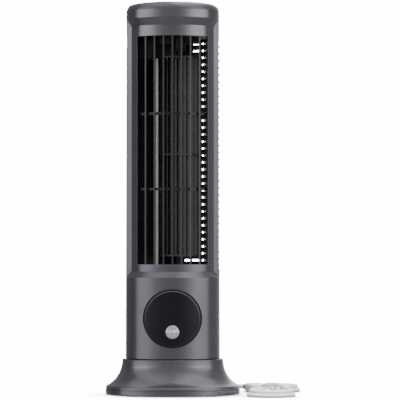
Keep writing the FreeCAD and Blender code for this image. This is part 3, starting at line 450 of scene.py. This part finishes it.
GUNMETAL = (0.150, 0.142, 0.163)
DISC_HEIGHT = 64.2
BUTTON_HEIGHT = 53.2
FINISHES = {
    "gunmetal": finish("gunmetal", GUNMETAL, 0.24, metallic=0.92, vary=0.05, rough_vary=0.03,
                       grain=0.002, grain_scale=5200, edge=0.35, wear=0.25),
    "grille": finish("grille", (0.034, 0.034, 0.038), 0.40, metallic=0.3, edge=0.2, vary=0.08),
    # The guide's light grey is partly a painted highlight: it is lighter than the other inner plastics to
    # give the bright upright line inside the window.
    "guide": finish("guide", (0.30, 0.30, 0.305), 0.34, edge=0.3, vary=0.08),
    "duct": finish("duct", (0.018, 0.018, 0.020), 0.42, vary=0.15),
    "panel": finish("panel", (0.0050, 0.0055, 0.0085), 0.14, specular=0.24, vary=0.1, rough_vary=0.03,
                    grain=0.0006, edge=0.45),
    # The button's strong cloudy tone is a painted reflection: light and dark streaks stand in for the
    # chrome dome's reflections. Its rings and brushing are real grooves.
    "button": finish("button", (0.94, 0.93, 0.945), 0.10, metallic=0.97, vary=0.3, cloud=430, edge=1.2,
                     anisotropic=0.3, rings=((0, 0, BUTTON_HEIGHT), 2.6, 0.42)),
    "button_inner": finish("button_inner", (0.03, 0.03, 0.032), 0.45),
    "component": finish("component", (0.022, 0.022, 0.024), 0.38, vary=0.12),
    "board": finish("board", (0.010, 0.075, 0.030), 0.32, coat=0.5, vary=0.2, cloud=400),
    "steel": finish("steel", (0.50, 0.50, 0.52), 0.28, metallic=1.0, vary=0.05),
    "socket": finish("socket", (0.62, 0.61, 0.58), 0.30, metallic=1.0, vary=0.05),
    "wire": finish("wire", (0.45, 0.02, 0.02), 0.40, vary=0.1),
    "hub": finish("hub", (0.08, 0.08, 0.085), 0.45, vary=0.1),
    "impeller": finish("impeller", (0.042, 0.043, 0.048), 0.26, specular=0.6, vary=0.12, edge=0.15),
    "bush": finish("bush", (0.42, 0.30, 0.12), 0.35, metallic=1.0),
    "screw": finish("screw", (0.05, 0.05, 0.055), 0.35, metallic=0.9, vary=0.15),
    "foot": finish("foot", (0.020, 0.020, 0.021), 0.75, vary=0.15, grain=0.01),
    "cable": finish("cable", (0.80, 0.80, 0.815), 0.38, vary=0.02, subsurface=0.12, edge=0.0,
                    grain=0.004),
    "tie": finish("tie", (0.82, 0.82, 0.82), 0.50, vary=0.03, subsurface=0.1, edge=0.1),
    "plug_metal": finish("plug_metal", (0.62, 0.57, 0.54), 0.27, metallic=1.0, vary=0.04, edge=0.15,
                         anisotropic=0.4),
    "plug": finish("plug", (0.79, 0.79, 0.80), 0.42, vary=0.02, subsurface=0.1, edge=0.25, grain=0.003),
}


def paint_rib_shade(material, from_radius, to_radius, share):
    """Paints shade on a finish towards the axis: the ribs set back behind the bars are darkened as
    painted shade, and the bars' faces keep their colour.
    """
    t = Tree(material.node_tree)
    shader = material.node_tree.nodes["Principled BSDF"]
    tone = shader.inputs["Base Color"].links[0].from_socket
    place = t.add("SeparateXYZ", Vector=t.add("TexCoord").outputs["Object"])
    x, y, _ = place.outputs
    radius = t.math("SQRT", t.math("ADD", t.math("MULTIPLY", x, x), t.math("MULTIPLY", y, y)))
    # Painted shade: the colour darkens towards the axis, where the ribs sit in the shade behind the bars
    unshaded_share = t.span(radius, from_radius * MM, to_radius * MM, share, 1.0)
    scaled = t.add("VectorMath", {"operation": "SCALE"})
    t.put(scaled.inputs[0], tone)
    t.put(scaled.inputs["Scale"], unshaded_share)
    t.put(shader.inputs["Base Color"], scaled.outputs[0])
    t.put(shader.inputs["Metallic"], t.span(radius, from_radius * MM, to_radius * MM, 0.0, 0.3))


# Painted shade on the grille's ribs behind the bars.
paint_rib_shade(FINISHES["grille"], 33.9, 34.6, 0.10)


def painted_rim_highlight(material, height, inner, outer):
    """A painted highlight: a lighter line just inside the round panel's edge, strongest along its upper
    half, where the rim's bevel would catch light from above.
    """
    t = Tree(material.node_tree)
    shader = material.node_tree.nodes["Principled BSDF"]
    tone = shader.inputs["Base Color"].links[0].from_socket
    place = t.add("SeparateXYZ", Vector=t.add("TexCoord").outputs["Object"])
    x = place.outputs[0]
    z = t.math("SUBTRACT", place.outputs[2], height * MM)
    radius = t.math("SQRT", t.math("ADD", t.math("MULTIPLY", x, x), t.math("MULTIPLY", z, z)))
    middle = (inner + outer) / 2 * MM
    half = (outer - inner) / 2 * MM
    line = t.span(t.math("ABSOLUTE", t.math("SUBTRACT", radius, middle)), half, half * 0.4, 0.0, 1.0)
    # Painted highlight, stronger towards the top as if lit from above
    upper = t.span(z, -6 * MM, 15 * MM, 0.05, 0.8)
    rim_highlight = t.add("Mix", {"data_type": "RGBA"})
    t.put(rim_highlight.inputs["Factor"], t.math("MULTIPLY", line, upper))
    t.put(rim_highlight.inputs[6], tone)
    t.put(rim_highlight.inputs[7], (0.105, 0.105, 0.112, 1))
    t.put(shader.inputs["Base Color"], rim_highlight.outputs[2])


# Paints a highlight on the black panel's rim.
painted_rim_highlight(FINISHES["panel"], DISC_HEIGHT, 22.0, 22.9)


# The imported materials are named after the slots, so a new one is matched by the first part of its name
def slot_of(node):
    return node.data.materials[0].name.split(".")[0]


for node in nodes.values():
    node.material_slots[0].material = FINISHES[slot_of(node)]


def mesh_object(name, vertices, faces, slot, smooth=True):
    """A piece from points in millimetres."""
    mesh = bpy.data.meshes.new(name)
    mesh.from_pydata([[c * MM for c in v] for v in vertices], [], faces)
    mesh.update()
    bm = bmesh.new()
    bm.from_mesh(mesh)
    bmesh.ops.recalc_face_normals(bm, faces=bm.faces)
    bm.to_mesh(mesh)
    bm.free()
    for polygon in mesh.polygons:
        polygon.use_smooth = smooth
    mesh.materials.append(FINISHES[slot])
    piece = link(bpy.data.objects.new(name, mesh))
    return piece


def loft(name, rings, slot, closed=True):
    """A skin over rings of points, capped at both ends unless closed is false."""
    count = len(rings[0])
    vertices = [p for ring in rings for p in ring]
    faces = []
    for row in range(len(rings) - 1):
        for i in range(count):
            j = (i + 1) % count
            faces.append((row * count + i, row * count + j, (row + 1) * count + j, (row + 1) * count + i))
    if closed:
        faces.append(tuple(range(count)))
        faces.append(tuple(range((len(rings) - 1) * count, len(rings) * count)))
    return mesh_object(name, vertices, faces, slot)


def rounded_section(half_width, half_height, corner, y, z=0.0, steps=5):
    """A rounded rectangle across the Y axis."""
    points = []
    for quarter, (sx, sz) in enumerate(((1, 1), (-1, 1), (-1, -1), (1, -1))):
        for step in range(steps + 1):
            a = math.radians(90 * (quarter + step / steps))
            points.append((sx * (half_width - corner) + corner * math.cos(a), y,
                           z + sz * (half_height - corner) + corner * math.sin(a)))
    return points


def round_section(radius, y, z=0.0, count=32):
    turns = [2 * math.pi * i / count for i in range(count)]
    return [(radius * math.cos(a), y, z + radius * math.sin(a)) for a in turns]


def sharp_by_angle(piece, degrees=35):
    """Smooth shading with sharp edges at the corners."""
    piece.data.set_sharp_from_angle(angle=math.radians(degrees))


# Plugs

USB_HEIGHT = 3.9          # the large plug's middle, above the table
USB_FRAME = Matrix.Translation((75 * MM, 14 * MM, 0)) @ Matrix.Rotation(math.radians(12), 4, "Z")
SOCKET_HEIGHT = 38.0


def ribbed_profile(start, end, r_start, r_end, ribs, depth):
    """(y, radius) of a tapered sleeve with grooves between its ribs."""
    profile = [(start, r_start - 0.25), (start + 0.2, r_start)]
    span = (end - start - 1.6) / ribs
    for rib in range(ribs):
        y = start + 0.8 + rib * span
        for share, drop in ((0.0, 0), (0.12, 0.5), (0.25, 1), (0.5, 1), (0.62, 0.5), (0.74, 0)):
            t = (y + share * span - start) / (end - start)
            profile.append((y + share * span, r_start + t * (r_end - r_start) - drop * depth))
    profile.append((end - 0.2, r_end))
    profile.append((end, r_end - 0.2))
    return profile


# The large plug's grip as (place along it, half width, half height, corner radius), with three grooves
USB_GRIP = [
    (11.9, 4.6, 2.9, 1.6), (12.1, 5.1, 3.2, 1.7), (13.2, 6.6, 3.65, 1.8), (15.2, 7.5, 3.85, 1.8),
    (17.5, 7.8, 3.9, 1.8), (18.4, 7.8, 3.9, 1.8), (18.7, 7.62, 3.72, 1.7), (19.3, 7.62, 3.72, 1.7),
    (19.6, 7.8, 3.9, 1.8), (20.6, 7.8, 3.9, 1.8), (20.9, 7.62, 3.72, 1.7), (21.5, 7.62, 3.72, 1.7),
    (21.8, 7.8, 3.9, 1.8), (22.8, 7.8, 3.9, 1.8), (23.1, 7.62, 3.72, 1.7), (23.7, 7.62, 3.72, 1.7),
    (24.0, 7.8, 3.9, 1.8), (32.2, 7.8, 3.9, 1.8), (32.8, 7.6, 3.7, 1.7), (33.0, 7.2, 3.3, 1.5)]


def usb_pieces():
    """The large plug: its sleeve, grip, metal shell, tongue and contacts."""
    z = USB_HEIGHT
    relief = loft("usb_relief", [round_section(r, y, z - 0.5) for y, r in
                                 ribbed_profile(0.4, 12.1, 2.25, 3.3, 5, 0.45)], "plug")
    body = loft("usb_grip", [rounded_section(w, h, c, y, z) for y, w, h, c in USB_GRIP], "plug")
    shell = usb_shell(z)
    tongue = loft("usb_tongue", [rounded_section(w, h, 0.2, y, z - 0.95, 2) for y, w, h in (
        (33.5, 5.5, 0.9), (47.0, 5.5, 0.9), (47.2, 5.3, 0.7))], "plug")
    contacts = contact_strips(z - 0.05)
    for piece in (relief, body, shell, tongue, contacts):
        piece.matrix_world = USB_FRAME
        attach(piece, "tower")
    return relief, body, shell, tongue, contacts


def usb_shell(z):
    """A folded metal sleeve with two square catches through each face."""
    xs = (-5.4, -4.0, -1.8, 1.8, 4.0, 5.4)
    corner = 0.6
    outline = [(x, 2.25) for x in reversed(xs)]
    turns = ((-1, 1), (-1, -1), (1, -1), (1, 1))
    loop = []
    for side, (sx, sz) in enumerate(turns):
        if side == 0:
            loop += outline
        if side == 2:
            loop += [(x, -2.25) for x in xs]
        start = 90 * (side + 1)
        for step in range(1, 4):
            a = math.radians(start + 90 * step / 4)
            loop.append((sx * 5.4 + corner * math.cos(a), sz * 1.65 + corner * math.sin(a)))
        if side == 0:
            loop += [(-6.0, 1.65), (-6.0, -1.65)]
        if side == 2:
            loop += [(6.0, -1.65), (6.0, 1.65)]
    rows = (33.0, 38.6, 40.9, 47.3, 47.6)
    vertices = [(x, y, z + dz) for y in rows for x, dz in loop]
    count = len(loop)
    faces = []
    for row in range(len(rows) - 1):
        for i in range(count):
            j = (i + 1) % count
            (xa, za), (xb, zb) = loop[i], loop[j]
            middle = abs((xa + xb) / 2)
            if row == 1 and abs(za) > 2.2 and abs(zb) > 2.2 and 1.9 < middle < 3.9:
                continue
            faces.append((row * count + i, row * count + j, (row + 1) * count + j, (row + 1) * count + i))
    shell = mesh_object("usb_shell", vertices, faces, "plug_metal")
    sharp_by_angle(shell)
    wall = shell.modifiers.new("wall", "SOLIDIFY")
    wall.thickness = 0.3 * MM
    wall.offset = -1
    return shell


def boxes(name, spans, slot):
    """Small bars in one piece, each from its lowest to its highest corner."""
    vertices = []
    faces = []
    for (x0, y0, z0), (x1, y1, z1) in spans:
        n = len(vertices)
        vertices += [(x0, y0, z0), (x1, y0, z0), (x1, y1, z0), (x0, y1, z0),
                     (x0, y0, z1), (x1, y0, z1), (x1, y1, z1), (x0, y1, z1)]
        faces += [tuple(n + k for k in face) for face in (
            (0, 3, 2, 1), (4, 5, 6, 7), (0, 1, 5, 4), (1, 2, 6, 5), (2, 3, 7, 6), (3, 0, 4, 7))]
    return mesh_object(name, vertices, faces, slot, smooth=False)


def contact_strips(z):
    """The four flat contacts on the tongue, the outer two longer."""
    spans = [((x - 0.55, 37.0 - longer, z - 0.06), (x + 0.55, 46.2, z + 0.08))
             for x, longer in ((-3.5, 1.2), (-1.2, 0.0), (1.2, 0.0), (3.5, 1.2))]
    return boxes("usb_contacts", spans, "socket")


def small_plug_pieces():
    """The small plug's sleeve and grip. Its metal end is the CAD node."""
    z = SOCKET_HEIGHT
    relief = loft("small_relief", [round_section(r, y, z) for y, r in
                                   ribbed_profile(56.9, 67.0, 3.15, 2.25, 5, 0.42)], "plug")
    grip = [(38.2, 4.6, 3.0, 1.8), (38.5, 5.0, 3.4, 2.0), (39.2, 5.3, 3.7, 2.2)]
    for rib in range(4):
        y = 43.0 + 1.7 * rib
        grip += [(y, 5.3, 3.7, 2.2), (y + 0.25, 5.1, 3.5, 2.1)]
        grip += [(y + 0.75, 5.1, 3.5, 2.1), (y + 1.0, 5.3, 3.7, 2.2)]
    grip += [(53.5, 5.3, 3.7, 2.2), (55.2, 4.9, 3.6, 2.3), (56.6, 3.9, 3.4, 2.6), (57.0, 3.5, 3.2, 2.6)]
    body = loft("small_grip", [rounded_section(w, h, c, y, z) for y, w, h, c in grip], "plug")
    for piece in (relief, body):
        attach(piece, "tower")
    return relief, body


# Tie: a wired paper band, wound once square and once aslant, its ends twisted together

def ribbon(name, path, wides, slot, width, thickness, closed=False):
    """A flat strip with a wire down its middle. wides are the directions across the strip."""
    shape = ((-1.0, 0.3), (-0.35, 0.45), (0.0, 1.0), (0.35, 0.45), (1.0, 0.3),
             (1.0, -0.3), (0.35, -0.45), (0.0, -1.0), (-0.35, -0.45), (-1.0, -0.3))
    rings = []
    n = len(path)
    for i, place in enumerate(path):
        before = Vector(path[(i - 1) % n if closed else max(0, i - 1)])
        after = Vector(path[(i + 1) % n if closed else min(n - 1, i + 1)])
        along = (after - before).normalized()
        wide = Vector(wides[i])
        wide = (wide - along * wide.dot(along)).normalized()
        up = along.cross(wide)
        across = wide * (width / 2)
        upright = up * (thickness / 2)
        rings.append([tuple(Vector(place) + across * s + upright * h) for s, h in shape])
    if closed:
        rings.append(rings[0])
    return loft(name, rings, slot, closed=not closed)


def oval(t, slant, centre, half_x, half_z, power=2.6):
    """A point on a squarish oval across the hank, at angle t. slant is how far y changes with x."""
    c, s = math.cos(t), math.sin(t)
    x = centre[0] + half_x * math.copysign(abs(c) ** (2 / power), c)
    z = centre[2] + half_z * math.copysign(abs(s) ** (2 / power), s)
    return (x, centre[1] + slant * (x - centre[0]), max(z, 0.25))


def tie_pieces():
    """The tie's two windings round the hank and its two twisted ends."""
    turns = 72
    band_path = [oval(2 * math.pi * i / turns, 0.0, (82.2, 6.2, 3.55), 9.9, 3.75) for i in range(turns)]
    band = ribbon("tie_band", band_path, [(0, 1, 0)] * turns, "tie", 2.6, 0.55, closed=True)
    slant_path = [oval(2 * math.pi * i / turns, -0.52, (82.6, 9.3, 3.9), 10.1, 3.9) for i in range(turns)]
    slant = ribbon("tie_slant", slant_path, [(0.46, 0.88, 0)] * turns, "tie", 2.4, 0.55, closed=True)
    tails = []
    steps = 40
    for end in (0, 1):
        path = []
        wides = []
        for i in range(steps + 1):
            t = i / steps
            a = math.pi * end + 2 * math.pi * 2.3 * t
            spread = 0.55 * (1 - t) + 0.35
            grow = max(0.0, t - 0.72) / 0.28
            apart = (1.6 if end else -1.4) * grow ** 2
            lift = (1.1 if end else -0.6) * grow
            path.append((92.0 + 8.2 * t, 5.6 - 2.2 * t + spread * math.cos(a) + apart,
                         4.6 - 1.4 * t + spread * math.sin(a) + lift))
            wides.append((0, -math.sin(a), math.cos(a)))
        tails.append(ribbon(f"tie_tail_{end + 1}", path, wides, "tie", 1.7, 0.5))
    for piece in (band, slant, *tails):
        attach(piece, "tower")
    return (band, slant, *tails)


# Screws with a cross recess

CROSS = [(1.5, -0.35), (1.5, 0.35), (0.35, 0.35), (0.35, 1.5), (-0.35, 1.5), (-0.35, 0.35),
         (-1.5, 0.35), (-1.5, -0.35), (-0.35, -0.35), (-0.35, -1.5), (0.35, -1.5), (0.35, -0.35)]


def add_screw(bm, place, radius, height, shank, length):
    """A pan-head screw in millimetres. In place's axes the head's outer face is at 0 and faces +Z."""
    def ring(r, z, count=28):
        return [bm.verts.new(place @ Vector((r * math.cos(2 * math.pi * i / count),
                                             r * math.sin(2 * math.pi * i / count), z)))
                for i in range(count)]

    def skin(a, b):
        for i in range(len(a)):
            j = (i + 1) % len(a)
            bm.faces.new((a[i], a[j], b[j], b[i]))

    tip = -height - length
    rings = [ring(shank * 0.6, tip), ring(shank, tip + 0.5), ring(shank, -height), ring(radius, -height),
             ring(radius, -0.35), ring(radius - 0.12, -0.1), ring(radius - 0.4, 0.0)]
    bm.faces.new(rings[0])
    for a, b in zip(rings, rings[1:]):
        skin(a, b)
    top = [bm.verts.new(place @ Vector((x, y, 0))) for x, y in CROSS]
    deep = [bm.verts.new(place @ Vector((0.8 * x, 0.8 * y, -0.75))) for x, y in CROSS]
    skin(top, deep)
    bm.faces.new(deep)
    edges = []
    for loop in (rings[-1], top):
        for i in range(len(loop)):
            pair = (loop[i], loop[(i + 1) % len(loop)])
            edges.append(bm.edges.get(pair) or bm.edges.new(pair))
    bmesh.ops.triangle_fill(bm, use_beauty=True, edges=edges)


def screw_set(name, node, places, radius, height, shank, length, turn=0.35):
    """One piece of the screws at these places, each turned differently, for a CAD node's screws."""
    bm = bmesh.new()
    for i, (spot, outwards) in enumerate(places):
        place = Matrix.Translation(spot) @ Vector(outwards).to_track_quat("Z", "Y").to_matrix().to_4x4()
        add_screw(bm, place @ Matrix.Rotation(turn + 0.9 * i, 4, "Z"), radius, height, shank, length)
    bmesh.ops.scale(bm, vec=(MM, MM, MM), verts=bm.verts)
    bmesh.ops.recalc_face_normals(bm, faces=bm.faces)
    mesh = bpy.data.meshes.new(name)
    bm.to_mesh(mesh)
    bm.free()
    mesh.materials.append(FINISHES["screw"])
    piece = link(bpy.data.objects.new(name, mesh))
    for polygon in mesh.polygons:
        polygon.use_smooth = True
    sharp_by_angle(piece, 40)
    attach(piece, "tower")
    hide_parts(node)


def around_tower(radius, azimuth, z):
    """A place in millimetres at this radius and azimuth, and the direction out of the tower there."""
    a = math.radians(azimuth)
    out = Vector((math.sin(a), -math.cos(a), 0))
    return (out.x * radius, out.y * radius, z), out


COVER_SCREW = {"radius": 2.55, "height": 1.1, "shank": 1.2, "length": 3.1}
TRAY_SCREW = {"radius": 2.75, "height": 0.7, "shank": 1.45, "length": 8.2}
COVER_SCREWS = (150, 210)         # azimuths
TRAY_SCREWS = (0, 120, 240)
DOWN = Vector((0, 0, -1))

screw_set("housing_screw_heads", "housing_screws", [around_tower(39.16, a, 95.0) for a in COVER_SCREWS],
          **COVER_SCREW)
screw_set("cap_screw_heads", "cap_screws", [around_tower(38.72, a, 302.9) for a in COVER_SCREWS],
          **COVER_SCREW)
screw_set("tray_screw_heads", "tray_screws", [(around_tower(36.0, a, 0.9)[0], DOWN) for a in TRAY_SCREWS],
          **TRAY_SCREW)

cord.data.materials.append(FINISHES["cable"])
usb = usb_pieces()
small = small_plug_pieces()
tie = tie_pieces()
for piece in (usb[0], usb[1], usb[3], usb[4], *small):
    sharp_by_angle(piece, 50)
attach(cord, "tower")
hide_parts("cord_lead", "cord_hank")
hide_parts("usb_strain_relief")
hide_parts("usb_plug_body")
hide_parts("usb_plug_shell")
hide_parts("micro_strain_relief")
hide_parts("micro_plug_body")
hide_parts("cable_tie")
